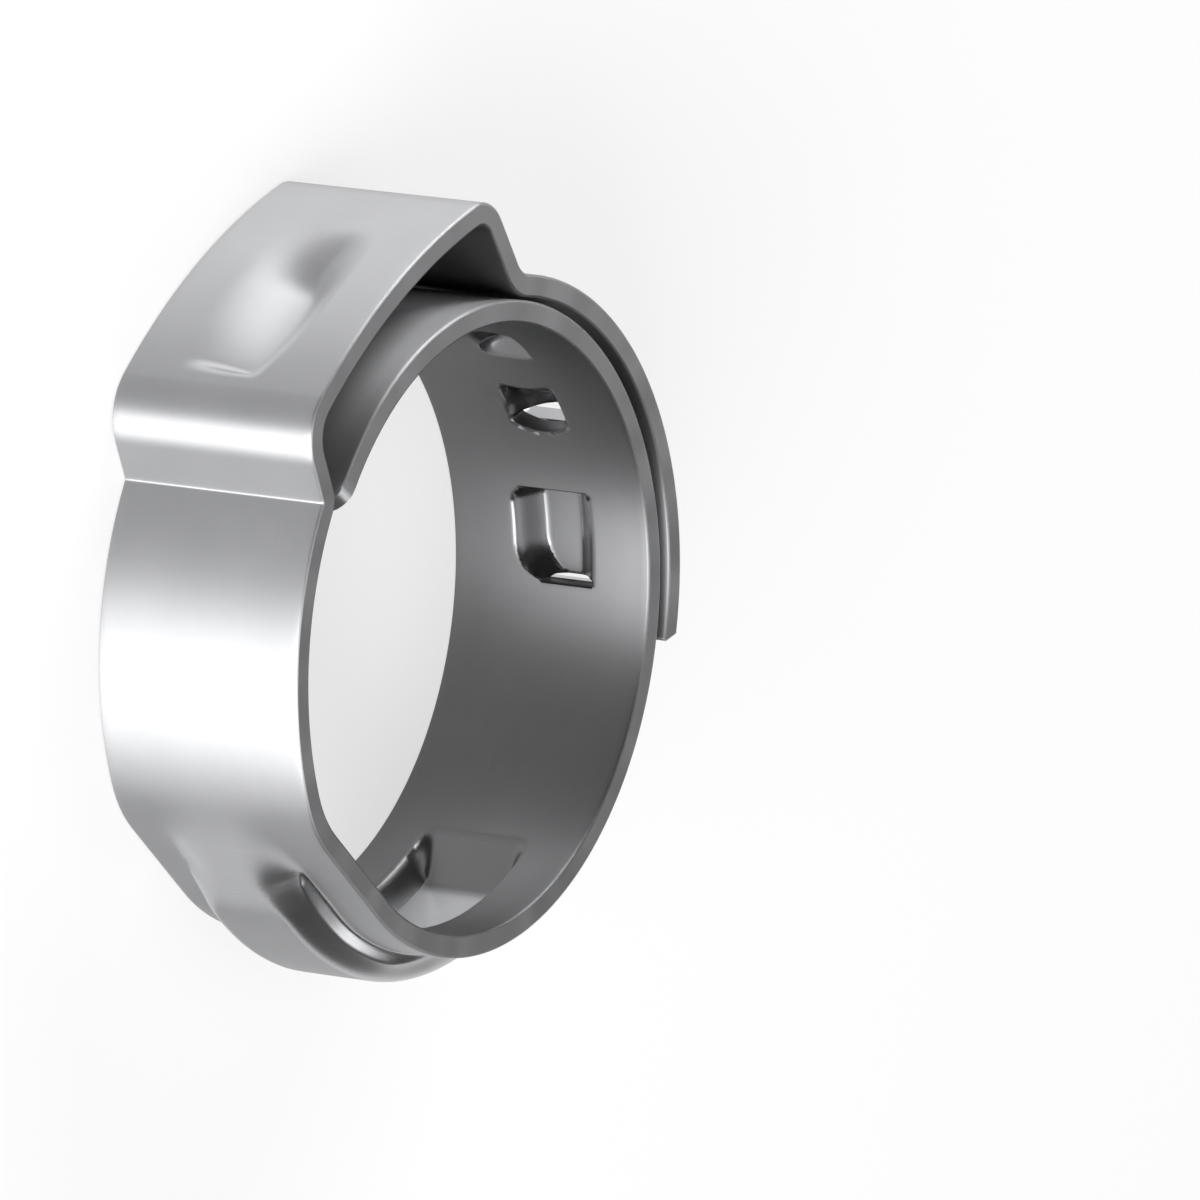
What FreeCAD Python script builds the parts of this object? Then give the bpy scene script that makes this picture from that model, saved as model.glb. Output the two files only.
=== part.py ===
import FreeCAD, Part
import math
import os

import Sketcher
from FreeCAD import Placement, Rotation, Vector

# Stepless single-ear hose clamp: one stainless strip, bent round until it overlaps itself.
# The bore axis is Z, the ear points to +Y, and the band stands from z = 0 up to the strip's width.
# Directions are degrees round the bore, counter-clockwise from +X. Lengths are millimetres.

DRIVING_SIZES = (
    # The strip, and how its layers lie on each other.
    ("bore_diameter", 18.5),
    ("strip_width", 7.0),
    ("strip_thickness", 0.7),
    ("layer_clearance", 0.05),
    # The flat at the lower left, where the band steps out over its own inner end.
    ("flat_direction", 205.0),
    ("flat_depth", 0.06),
    ("flat_lead_radius", 7.0),
    ("flat_exit_radius", 3.6),
    # The ear, measured along the middle of its strip.
    ("ear_leg_left", 6.0),
    ("ear_leg_right", 5.53),
    ("ear_leg_lean", 9.3),
    ("ear_clear_height", 1.9),
    ("ear_top_radius", 20.5),
    ("ear_top_shift", 1.1),
    ("ear_corner_left", 1.4),
    ("ear_corner_right", 1.05),
    ("ear_root_left", 0.45),
    ("ear_root_right", 1.3),
    # The outer end, which lies over the right side with a crescent gap.
    ("overlap_rise", 0.45),
    ("overlap_rise_direction", -13.5),
    ("overlap_rise_span", 73.0),
    ("overlap_end_direction", -34.5),
    ("overlap_end_slant", 20.0),
    # The tongue at the inner end, which starts at the left foot of the ear.
    ("tongue_clearance", 0.1),
    ("tongue_direction", 180.0),
    ("shoulder_direction", 125.5),
    ("tongue_tip_radius", 1.1),
    ("shoulder_radius", 0.9),
    # The channel that the tongue slides in as the clamp closes. It starts level with the left wall,
    # rises to its full depth over an angle, and a ramp ends it.
    ("channel_height_on_strip", 3.4),
    ("channel_floor_width", 2.8),
    ("channel_wall_run", 0.36),
    ("channel_wall", 0.35),
    ("channel_start_direction", 165.0),
    ("channel_full_direction", 200.0),
    ("channel_end_direction", 271.0),
    ("channel_rise_angle", 15.0),
    ("channel_ramp_angle", 10.0),
    ("channel_extra_depth", 0.25),
    # The hooks of the inner layer.
    ("hook_height_on_strip", 3.6),
    ("hook_wall", 0.45),
    ("small_hook_direction", 32.4),
    ("small_hook_width", 1.9),
    ("small_hook_angle", 12.0),
    ("small_hook_depth", 0.17),
    ("large_hook_direction", 11.0),
    ("large_hook_width", 2.3),
    ("large_hook_angle", 11.5),
    ("large_hook_depth", 0.75),
    ("bridge_direction", -17.4),
    ("bridge_width", 3.0),
    ("bridge_angle", 18.8),
    ("bridge_depth", 0.7),
    ("bridge_slit_angle", 1.5),
    # The windows of the outer end, over the large hook and the bridge.
    ("window_clearance", 0.35),
    ("window_clearance_angle", 3.0),
    ("window_corner_radius", 0.5),
    # The dimple pressed into the top of the ear.
    ("dimple_direction", 97.0),
    ("dimple_length", 6.2),
    ("dimple_width", 3.2),
    ("dimple_depth", 0.7),
    ("dimple_wall_slope", 40.0),
    ("dimple_height_on_strip", 3.5),
)

# How far a cutting shape reaches past the surface that it starts from.
OVERSHOOT = 0.3
# How many degrees the tongue runs on inside the strip that carries it.
ROOTED_ANGLE = 2
# How round the ends of the dimple are: the height of each end's arc over its half width.
DIMPLE_ROUNDNESS = 0.75
# How much of half its width the corners of the tongue's tip may take up.
TIP_SHARE = 0.95
# How closely an edge has to lie to the direction and height that it is looked for at.
NEAR_DEGREES, NEAR_HEIGHT = 0.6, 0.02

BORE = "Sizes.bore_diameter / 2"
INNER_BACK = BORE + " + Sizes.strip_thickness"
INNER_MIDDLE = BORE + " + Sizes.strip_thickness / 2"
BETWEEN_LAYERS = INNER_BACK + " + Sizes.layer_clearance / 2"
OUTER_FACE = INNER_BACK + " + Sizes.layer_clearance"
OUTER_MIDDLE = OUTER_FACE + " + Sizes.strip_thickness / 2"
OUTER_BACK = OUTER_FACE + " + Sizes.strip_thickness"
# Half the tongue's width: it fits between the walls at the channel's floor.
TONGUE_HALF = "(Sizes.channel_floor_width / 2 - Sizes.tongue_clearance)"


def make_sheet(document):
    """The driving sizes, one row each: a name, and a plain number whose alias is that name."""
    sheet = document.addObject("Spreadsheet::Sheet", "Sizes")
    for row, (name, number) in enumerate(DRIVING_SIZES, start=1):
        sheet.set("A%d" % row, name)
        sheet.set("B%d" % row, str(number))
        sheet.setAlias("B%d" % row, name)
    document.recompute()
    return sheet


def value(text):
    """The number that an expression over the sheet gives."""
    return float(FreeCAD.ActiveDocument.Sizes.evalExpression(text))


def unit(direction):
    angle = math.radians(direction)
    return Vector(math.cos(angle), math.sin(angle), 0)


def turn_of(vector):
    return math.atan2(vector.y, vector.x)


class Round:
    """A circle that a stretch of the strip follows."""

    def __init__(self, centre, radius):
        self.centre, self.radius = centre, radius

    def grown(self, amount):
        return Round(self.centre, self.radius + amount)

    def nearest(self, point):
        away = point - self.centre
        return self.centre + away * (self.radius / away.Length)


class Straight:
    """A straight stretch, given by its normal and its distance from the bore axis."""

    def __init__(self, normal, distance):
        self.normal, self.distance = normal, distance

    def grown(self, amount):
        return Straight(self.normal, self.distance + amount)

    def nearest(self, point):
        return point + self.normal * (self.distance - self.normal.dot(point))


def meeting(first, second, near):
    """Where two such lines cross: of the two places, the one nearer to a point."""
    if isinstance(first, Straight):
        first, second = second, first
    if isinstance(second, Straight):
        axis = second.normal
        along = second.distance - axis.dot(first.centre)
    else:
        between = second.centre - first.centre
        axis = between * (1 / between.Length)
        along = (first.radius ** 2 - second.radius ** 2 + between.Length ** 2) / (2 * between.Length)
    across = Vector(-axis.y, axis.x, 0) * math.sqrt(first.radius ** 2 - along ** 2)
    middle = first.centre + axis * along
    return min((middle + across, middle - across), key=lambda place: (place - near).Length)


class BoundSketch:
    """A sketch on one of the body's own planes, whose constraints are bound to the sheet."""

    def __init__(self, body, name, role, offset=Placement()):
        plane = [item for item in body.Origin.OriginFeatures if item.Role == role][0]
        self.sketch = body.newObject("Sketcher::SketchObject", name)
        self.sketch.AttachmentSupport = (plane, [""])
        self.sketch.MapMode = "FlatFace"
        self.sketch.AttachmentOffset = offset

    def draw(self, geometry, construction=False):
        return self.sketch.addGeometry(geometry, construction)

    def hold(self, kind, *places):
        self.sketch.addConstraint(Sketcher.Constraint(kind, *places))

    def bind(self, kind, *places, to, name=None, angle=False):
        """Adds a constraint whose value is an expression over the sheet."""
        number = math.radians(value(to)) if angle else value(to)
        index = self.sketch.addConstraint(Sketcher.Constraint(kind, *places, number))
        name = name or "size_%d" % index
        self.sketch.renameConstraint(index, name)
        self.sketch.setExpression("Constraints." + name, to)

    def outline(self, corners, bulges=()):
        """A closed outline through corners given as pairs of expressions.

        A bulge turns the side after a corner into an arc: corner number, half the side, height."""
        points = [Vector(value(across), value(up), 0) for across, up in corners]
        heights = {side: (half, height) for side, half, height in bulges}
        sides = []
        for number, (start, end) in enumerate(zip(points, points[1:] + points[:1])):
            if number in heights:
                sides.append(self.draw(bulged(start, end, value(heights[number][1]))))
            else:
                sides.append(self.draw(Part.LineSegment(start, end)))
        for number, side in enumerate(sides):
            self.hold("Coincident", side, 2, sides[(number + 1) % len(sides)], 1)
        for side, (across, up) in zip(sides, corners):
            self.bind("DistanceX", -1, 1, side, 1, to=across)
            self.bind("DistanceY", -1, 1, side, 1, to=up)
        for number, (half, height) in heights.items():
            radius = "((%s) ^ 2 + (%s) ^ 2) / (2 * (%s))" % (half, height, height)
            self.bind("Radius", sides[number], to=radius)
        return self.sketch


def arc_between(centre, radius, start, end):
    """The counter-clockwise arc of a circle from one point to another."""
    first, last = turn_of(start - centre), turn_of(end - centre)
    if last <= first:
        last += 2 * math.pi
    return Part.ArcOfCircle(Part.Circle(centre, Vector(0, 0, 1), radius), first, last)


def bulged(start, end, height):
    """The arc from one corner to the next of an outline, which stands out from it by a height."""
    half = (end - start).Length / 2
    radius = (half ** 2 + height ** 2) / (2 * height)
    outward = Vector(end.y - start.y, start.x - end.x, 0).normalize()
    return arc_between((start + end) * 0.5 + outward * (height - radius), radius, start, end)


def radial_plane(direction):
    """Turns a sketch on the XZ plane about the bore axis, so that its x runs outward there."""
    return Placement(Vector(), Rotation(Vector(0, 1, 0), value(direction)))


def radial_sketch(body, name, direction):
    """A sketch in the half-plane through the bore axis: x is the radius, y the height."""
    section = BoundSketch(body, name, "XZ_Plane", radial_plane(direction))
    section.sketch.setExpression("AttachmentOffset.Rotation.Angle", direction)
    return section


def swing(body, kind, name, sketch, angle):
    """Turns a radial section about the bore axis, by half the angle to each side."""
    feature = body.newObject("PartDesign::" + kind, name)
    feature.Profile = sketch
    feature.ReferenceAxis = (sketch, ["V_Axis"])
    feature.Midplane = True
    feature.setExpression("Angle", angle)
    return feature


def make_strip(body):
    """The strip seen along the bore axis, bent into the band and its ear, padded to its width."""
    thickness = value("Sizes.strip_thickness")
    shift = "Sizes.overlap_rise / (1 - cos(Sizes.overlap_rise_span))"
    overlap_radius = OUTER_MIDDLE + " + Sizes.overlap_rise - " + shift
    top_height = INNER_BACK + " + Sizes.ear_clear_height + Sizes.strip_thickness / 2"
    leg_distance = "cos(Sizes.ear_leg_lean) * Sizes.ear_leg_right + sin(Sizes.ear_leg_lean) * " + BORE
    top_drop = "Sizes.ear_top_radius - (" + top_height + ")"

    band = Round(Vector(), value(INNER_MIDDLE))
    flat = Straight(unit(value("Sizes.flat_direction")), value(INNER_MIDDLE + " - Sizes.flat_depth"))
    wall = Round(Vector(), value(OUTER_MIDDLE))
    left_leg = Straight(unit(180), value("Sizes.ear_leg_left"))
    top_centre = Vector(value("Sizes.ear_top_shift"), -value(top_drop), 0)
    top = Round(top_centre, value("Sizes.ear_top_radius"))
    right_leg = Straight(unit(value("Sizes.ear_leg_lean")), value(leg_distance))
    overlap_centre = unit(value("Sizes.overlap_rise_direction")) * value(shift)
    overlap = Round(overlap_centre, value(overlap_radius))

    # Each bend joins the stretch before it to the one named. A bend turns inward like the band
    # (-1) or outward (+1), and lies near the given direction.
    bends = (
        (flat, -1, "flat_lead_radius", 250),
        (wall, -1, "flat_exit_radius", 180),
        (left_leg, 1, "ear_root_left", 125),
        (top, -1, "ear_corner_left", 117),
        (right_leg, -1, "ear_corner_right", 67),
        (overlap, 1, "ear_root_right", 55),
    )
    stretches = []
    shoulder = unit(value("Sizes.shoulder_direction"))
    before, place = band, shoulder * band.radius
    for after, turn, size, direction in bends:
        radius = value("Sizes." + size)
        near = unit(direction) * band.radius
        centre = meeting(before.grown(turn * radius), after.grown(turn * radius), near)
        stretches.append((before, place, before.nearest(centre), -1))
        stretches.append((Round(centre, radius), before.nearest(centre), after.nearest(centre), turn))
        before, place = after, after.nearest(centre)
    end = unit(value("Sizes.overlap_end_direction"))
    end_place = meeting(overlap, Straight(Vector(-end.y, end.x, 0), 0), end * band.radius)
    stretches.append((overlap, place, end_place, -1))

    profile = BoundSketch(body, "StripProfile", "XY_Plane")
    chains = {}
    for chain, offset in (("middle", 0), ("bore", -thickness / 2), ("back", thickness / 2)):
        chains[chain] = [
            draw_stretch(profile, stretch, offset, chain == "middle") for stretch in stretches
        ]
        for (side, _, end_point), (following, start_point, _) in zip(chains[chain], chains[chain][1:]):
            profile.hold("Tangent", side, end_point, following, start_point)
    for chain in ("bore", "back"):
        for (middle, _, _), (side, _, _), stretch in zip(chains["middle"], chains[chain], stretches):
            if isinstance(stretch[0], Straight):
                profile.hold("Parallel", middle, side)
            else:
                profile.hold("Coincident", middle, 3, side, 3)

    (band_line, flat_lead, flat_line, flat_exit, wall_line, left_root, left_line, left_corner,
     top_line, right_corner, right_line, right_root, overlap_line) = [m[0] for m in chains["middle"]]
    profile.hold("Coincident", band_line, 3, -1, 1)
    profile.bind("Radius", band_line, to=INNER_MIDDLE, name="band_radius")
    profile.bind("Radius", flat_lead, to="Sizes.flat_lead_radius", name="flat_lead")
    profile.bind("Distance", -1, 1, flat_line, to=INNER_MIDDLE + " - Sizes.flat_depth", name="flat")
    profile.bind("Angle", flat_line, to="Sizes.flat_direction - 90", name="flat_angle", angle=True)
    profile.bind("Radius", flat_exit, to="Sizes.flat_exit_radius", name="flat_exit")
    profile.hold("Coincident", wall_line, 3, -1, 1)
    profile.bind("Radius", wall_line, to=OUTER_MIDDLE, name="wall_radius")
    profile.bind("Radius", left_root, to="Sizes.ear_root_left", name="left_root")
    profile.hold("Vertical", left_line)
    profile.bind("DistanceX", left_line, 1, -1, 1, to="Sizes.ear_leg_left", name="left_leg")
    profile.bind("Radius", left_corner, to="Sizes.ear_corner_left", name="left_corner")
    profile.bind("Radius", top_line, to="Sizes.ear_top_radius", name="top_radius")
    profile.bind("DistanceX", -1, 1, top_line, 3, to="Sizes.ear_top_shift", name="top_shift")
    profile.bind("DistanceY", top_line, 3, -1, 1, to=top_drop, name="top_drop")
    profile.bind("Radius", right_corner, to="Sizes.ear_corner_right", name="right_corner")
    profile.bind("Angle", right_line, to="Sizes.ear_leg_lean - 90", name="right_lean", angle=True)
    profile.bind("Distance", -1, 1, right_line, to=leg_distance, name="right_leg")
    profile.bind("Radius", right_root, to="Sizes.ear_root_right", name="right_root")
    profile.bind("Radius", overlap_line, to=overlap_radius, name="overlap_radius")

    # The eccentric centre of the outer end lies on a ray from the bore axis.
    ray = profile.draw(Part.LineSegment(Vector(), overlap_centre), True)
    profile.hold("Coincident", ray, 1, -1, 1)
    profile.hold("Coincident", ray, 2, overlap_line, 3)
    profile.bind("Distance", ray, to=shift, name="overlap_shift")
    profile.bind("Angle", ray, to="Sizes.overlap_rise_direction", name="overlap_ray", angle=True)

    # The square cut at the shoulder and the slanted cut of the outer end.
    first_bore, first_back = chains["bore"][0], chains["back"][0]
    start_cut = profile.draw(Part.LineSegment(shoulder * value(BORE), shoulder * value(INNER_BACK)))
    profile.hold("Coincident", start_cut, 1, first_bore[0], first_bore[1])
    profile.hold("Coincident", start_cut, 2, first_back[0], first_back[1])
    profile.hold("PointOnObject", -1, 1, start_cut)
    profile.hold("PointOnObject", band_line, 2, start_cut)
    profile.bind("Angle", start_cut, to="Sizes.shoulder_direction", name="shoulder", angle=True)
    profile.bind("Radius", first_bore[0], to=BORE, name="bore_radius")
    profile.bind("Radius", first_back[0], to=INNER_BACK, name="back_radius")

    slant = unit(value("Sizes.overlap_end_direction + Sizes.overlap_end_slant"))
    cut = Straight(Vector(-slant.y, slant.x, 0), 0)
    cut = Straight(cut.normal, cut.normal.dot(end_place))
    last_middle, last_bore, last_back = [chains[chain][-1] for chain in ("middle", "bore", "back")]
    end_cut = profile.draw(Part.LineSegment(
        meeting(overlap.grown(-thickness / 2), cut, end_place),
        meeting(overlap.grown(thickness / 2), cut, end_place),
    ))
    end_ray = profile.draw(Part.LineSegment(Vector(), end_place), True)
    profile.hold("Coincident", end_ray, 1, -1, 1)
    profile.hold("Coincident", end_ray, 2, last_middle[0], last_middle[2])
    profile.bind("Angle", end_ray, to="Sizes.overlap_end_direction", name="end_ray", angle=True)
    profile.hold("Coincident", end_cut, 1, last_bore[0], last_bore[2])
    profile.hold("Coincident", end_cut, 2, last_back[0], last_back[2])
    profile.hold("PointOnObject", last_middle[0], last_middle[2], end_cut)
    slant_angle = "Sizes.overlap_end_direction + Sizes.overlap_end_slant"
    profile.bind("Angle", end_cut, to=slant_angle, name="end_slant", angle=True)

    strip = body.newObject("PartDesign::Pad", "Strip")
    strip.Profile = profile.sketch
    strip.setExpression("Length", "Sizes.strip_width")
    return strip


def draw_stretch(profile, stretch, offset, construction):
    """Draws one stretch at an offset from the strip's middle; positive is away from the bore.

    Gives the side's number, and the numbers of its points at the stretch's start and end."""
    line, start, end, turn = stretch
    if isinstance(line, Straight):
        moved = line.grown(offset)
        segment = Part.LineSegment(moved.nearest(start), moved.nearest(end))
        return profile.draw(segment, construction), 1, 2
    first, last = (start, end) if turn > 0 else (end, start)
    arc = arc_between(line.centre, line.radius - turn * offset, first, last)
    side = profile.draw(arc, construction)
    return (side, 1, 2) if turn > 0 else (side, 2, 1)


def rectangle(near, far, low, high):
    return [(near, low), (far, low), (far, high), (near, high)]


def channel_corners(root, crest, floor, floor_half, narrowed="0"):
    """A section of the channel from a root radius up to its crest, within walls that lean inward.

    The walls are floor_half from the middle where they meet the full depth, at the floor radius."""
    middle = "Sizes.channel_height_on_strip"
    slope = "Sizes.channel_wall_run / Sizes.strip_thickness"
    root_half, crest_half = [
        "(%s) + (%s) * ((%s) - (%s)) - (%s)" % (floor_half, slope, floor, radius, narrowed)
        for radius in (root, crest)
    ]
    return [
        (root, "%s - (%s)" % (middle, root_half)),
        (crest, "%s - (%s)" % (middle, crest_half)),
        (crest, "%s + (%s)" % (middle, crest_half)),
        (root, "%s + (%s)" % (middle, root_half)),
    ]


def make_channel(body):
    """The outward pressed channel: a ridge outside and a groove inside, with a ramp at its end."""
    start, full, end = ["Sizes.channel_%s_direction" % place for place in ("start", "full", "end")]
    groove_half = "Sizes.channel_floor_width / 2"
    ridge_half = groove_half + " + Sizes.channel_wall"
    sunk = " - Sizes.layer_clearance"
    # The ridge starts inside the metal, also where the flat lies nearer to the bore axis.
    ridge_root = INNER_MIDDLE + " - Sizes.flat_depth / 2"
    groove_root = BORE + " - Sizes.flat_depth - %s" % OVERSHOOT
    for name, turned, lofted, root, level, surface, half in (
        ("Ridge", "Revolution", "AdditiveLoft", ridge_root, OUTER_BACK, INNER_BACK, ridge_half),
        ("Groove", "Groove", "SubtractiveLoft", groove_root, OUTER_FACE, BORE, groove_half),
    ):
        floor = level + " + Sizes.channel_extra_depth"
        for stretch, first, last, crest in (("Lead", start, full, level), ("Run", full, end, floor)):
            section = radial_sketch(body, name + stretch + "Section", "(%s + %s) / 2" % (first, last))
            section.outline(channel_corners(root, crest, floor, half))
            swing(body, turned, name + stretch, section.sketch, "%s - %s" % (last, first))
        for slope, high, low, crest, narrowed in (
            ("Rise", full, full + " - Sizes.channel_rise_angle", level + sunk, "Sizes.layer_clearance"),
            ("Ramp", end, end + " + Sizes.channel_ramp_angle", surface + sunk, "0"),
        ):
            high_section = radial_sketch(body, name + slope + "High", high)
            high_section.outline(channel_corners(root, floor, floor, half))
            low_section = radial_sketch(body, name + slope + "Low", low)
            low_section.outline(channel_corners(root, crest, floor, half, narrowed))
            loft = body.newObject("PartDesign::" + lofted, name + slope)
            loft.Profile = high_section.sketch
            loft.Sections = [low_section.sketch]
            loft.Ruled = True


def tongue_edges():
    """The heights of the tongue's two long edges."""
    return ["Sizes.channel_height_on_strip %s %s" % (sign, TONGUE_HALF) for sign in "-+"]


def make_tongue(body):
    """The tongue, narrower than the strip, which runs on from the shoulder inside the left wall."""
    tip, shoulder = "Sizes.tongue_direction", "Sizes.shoulder_direction"
    middle = "(%s + %s - %s) / 2" % (tip, shoulder, ROOTED_ANGLE)
    section = radial_sketch(body, "TongueSection", middle)
    section.outline(rectangle(BORE, INNER_BACK, *tongue_edges()))
    swing(body, "Revolution", "Tongue", section.sketch, "%s - %s + %s" % (tip, shoulder, ROOTED_ANGLE))


def make_windows(body):
    """The windows of the outer end, which the large hook and the bridge reach into."""
    for name, hook in (("HookWindow", "large_hook"), ("BridgeWindow", "bridge")):
        half = "Sizes.%s_width / 2 + Sizes.window_clearance" % hook
        section = radial_sketch(body, name + "Section", "Sizes.%s_direction" % hook)
        far = OUTER_BACK + " + Sizes.overlap_rise + %s" % OVERSHOOT
        low = "Sizes.hook_height_on_strip - (%s)" % half
        high = "Sizes.hook_height_on_strip + (%s)" % half
        section.outline(rectangle(BETWEEN_LAYERS, far, low, high))
        angle = "Sizes.%s_angle + 2 * Sizes.window_clearance_angle" % hook
        swing(body, "Groove", name, section.sketch, angle)


def arch_corners(radius, half):
    low = "Sizes.hook_height_on_strip - (%s)" % half
    high = "Sizes.hook_height_on_strip + (%s)" % half
    return [(radius, high), (radius, low)]


def make_hook(body, hook, lanced):
    """A hook pressed outward from the inner layer. A lanced one is cut open at its lower end."""
    direction, angle = "Sizes.%s_direction" % hook, "Sizes.%s_angle" % hook
    crest = INNER_BACK + " + Sizes.%s_depth" % hook
    outer_half = "Sizes.%s_width / 2 + Sizes.hook_wall / 2" % hook
    name = "".join(word.capitalize() for word in hook.split("_"))
    bump = radial_sketch(body, name + "Bump", direction)
    bump.outline(arch_corners(INNER_MIDDLE, outer_half),
                 [(1, outer_half, "(%s) - (%s)" % (crest, INNER_MIDDLE))])
    swing(body, "Revolution", name + "Outside", bump.sketch, angle)
    recess_half = "Sizes.%s_width / 2" % hook
    wall_angle = "Sizes.hook_wall / (%s) * 180 / pi" % BORE
    if lanced:
        recess_direction = direction + " - " + wall_angle
        recess_angle = angle
    else:
        recess_direction = direction
        recess_angle = "%s - 2 * %s" % (angle, wall_angle)
    recess = radial_sketch(body, name + "Recess", recess_direction)
    root = BORE + " - %s" % OVERSHOOT
    recess.outline(arch_corners(root, recess_half),
                   [(1, recess_half, "(%s) - Sizes.hook_wall - (%s)" % (crest, root))])
    swing(body, "Groove", name, recess.sketch, recess_angle)


def make_bridge(body):
    """The bridge: a window in the inner layer, spanned by a tab that is arched outward."""
    section = radial_sketch(body, "BridgeOpeningSection", "Sizes.bridge_direction")
    low = "Sizes.hook_height_on_strip - Sizes.bridge_width / 2"
    high = "Sizes.hook_height_on_strip + Sizes.bridge_width / 2"
    section.outline(rectangle(BORE + " - %s" % OVERSHOOT, BETWEEN_LAYERS, low, high))
    swing(body, "Groove", "BridgeOpening", section.sketch, "Sizes.bridge_angle")
    arch = radial_sketch(body, "BridgeArch", "Sizes.bridge_direction")
    foot_half = "Sizes.bridge_width / 2 + Sizes.hook_wall"
    rise = "(%s) + Sizes.bridge_depth - (%s)" % (INNER_BACK, INNER_MIDDLE)
    points = [Vector(value(across), value(up), 0) for across, up in arch_corners(INNER_MIDDLE, foot_half)]
    sides = []
    for height in (rise, "%s - Sizes.hook_wall" % rise):
        side = arch.draw(bulged(points[1], points[0], value(height)))
        radius = "((%s) ^ 2 + (%s) ^ 2) / (2 * (%s))" % (foot_half, height, height)
        arch.bind("Radius", side, to=radius)
        sides.append(side)
    for point in (1, 2):
        arch.hold("Coincident", sides[0], point, sides[1], point)
    for point, (across, up) in zip((2, 1), arch_corners(INNER_MIDDLE, foot_half)):
        arch.bind("DistanceX", -1, 1, sides[0], point, to=across)
        arch.bind("DistanceY", -1, 1, sides[0], point, to=up)
    swing(body, "Revolution", "Bridge", arch.sketch,
          "Sizes.bridge_angle - 2 * Sizes.bridge_slit_angle")


def dimple_plane(inset):
    """A plane square to the top of the ear at the dimple, sunk by an inset; it looks inward."""
    direction = "Sizes.dimple_direction"
    centre_drop = "(Sizes.ear_top_radius - (%s) - Sizes.ear_clear_height - Sizes.strip_thickness / 2)"
    centre_drop = centre_drop % INNER_BACK
    reach = "(Sizes.ear_top_radius + Sizes.strip_thickness / 2 - (%s))" % inset
    return {
        ".Base.x": "Sizes.ear_top_shift + %s * cos(%s)" % (reach, direction),
        ".Base.z": "%s - %s * sin(%s)" % (centre_drop, reach, direction),
        ".Rotation.Angle": "%s - 90" % direction,
    }


def make_dimple(body):
    """The dimple pressed inward from the top of the ear: a recess outside, a bulge under it."""
    run = "Sizes.dimple_depth / tan(90 - Sizes.dimple_wall_slope)"
    for name, kind, inset, depth, spread in (
        ("DimpleBulge", "Pad", "Sizes.strip_thickness * 0.75",
         "Sizes.dimple_depth + Sizes.strip_thickness * 0.25", "Sizes.strip_thickness / 4"),
        ("Dimple", "Pocket", "0", "Sizes.dimple_depth", "0"),
    ):
        places = dimple_plane(inset)
        offset = Placement(
            Vector(value(places[".Base.x"]), 0, value(places[".Base.z"])),
            Rotation(Vector(0, 1, 0), value(places[".Rotation.Angle"])),
        )
        slot = BoundSketch(body, name + "Outline", "XZ_Plane", offset)
        for place, text in places.items():
            slot.sketch.setExpression("AttachmentOffset" + place, text)
        half_width = "Sizes.dimple_width / 2 + " + spread
        centre_half = "Sizes.dimple_length / 2 - Sizes.dimple_width / 2"
        low = "Sizes.dimple_height_on_strip - (%s)" % half_width
        high = "Sizes.dimple_height_on_strip + (%s)" % half_width
        corners = [("-(%s)" % centre_half, low), (centre_half, low),
                   (centre_half, high), ("-(%s)" % centre_half, high)]
        end_height = "%s * (%s)" % (DIMPLE_ROUNDNESS, half_width)
        slot.outline(corners, [(1, half_width, end_height), (3, half_width, end_height)])
        feature = body.newObject("PartDesign::" + kind, name)
        feature.Profile = slot.sketch
        feature.setExpression("Length", depth)
        feature.Reversed = kind == "Pocket"
        feature.TaperAngle = -value("Sizes.dimple_wall_slope")
        feature.setExpression("TaperAngle", "-Sizes.dimple_wall_slope")


def radial_edges(shape, directions, heights, near, far):
    """Names of the straight edges that run outward from the bore at given directions and heights."""
    found = []
    for number, edge in enumerate(shape.Edges, start=1):
        if not isinstance(edge.Curve, Part.Line) or len(edge.Vertexes) < 2:
            continue
        start, end = [vertex.Point for vertex in edge.Vertexes]
        if abs(start.z - end.z) > 1e-4:
            continue
        middle = (start + end) * 0.5
        radius = math.hypot(middle.x, middle.y)
        direction = math.degrees(turn_of(middle)) % 360
        apart = [abs((direction - wanted + 180) % 360 - 180) for wanted in directions]
        above = min(abs(middle.z - height) for height in heights)
        if near < radius < far and min(apart) < NEAR_DEGREES and above < NEAR_HEIGHT:
            found.append("Edge%d" % number)
    return found


def round_corners(body, name, directions, heights, near, far, size, wanted):
    """Rounds the corners of an edge that is cut through the strip."""
    body.Document.recompute()
    base = body.Tip
    edges = radial_edges(base.Shape, [value(d) for d in directions], [value(h) for h in heights],
                         value(near), value(far))
    if len(edges) != wanted:
        raise RuntimeError("%s found %d corners, not %d" % (name, len(edges), wanted))
    rounding = body.newObject("PartDesign::Fillet", name)
    rounding.Base = (base, edges)
    rounding.setExpression("Radius", size)
    body.Document.recompute()


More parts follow.
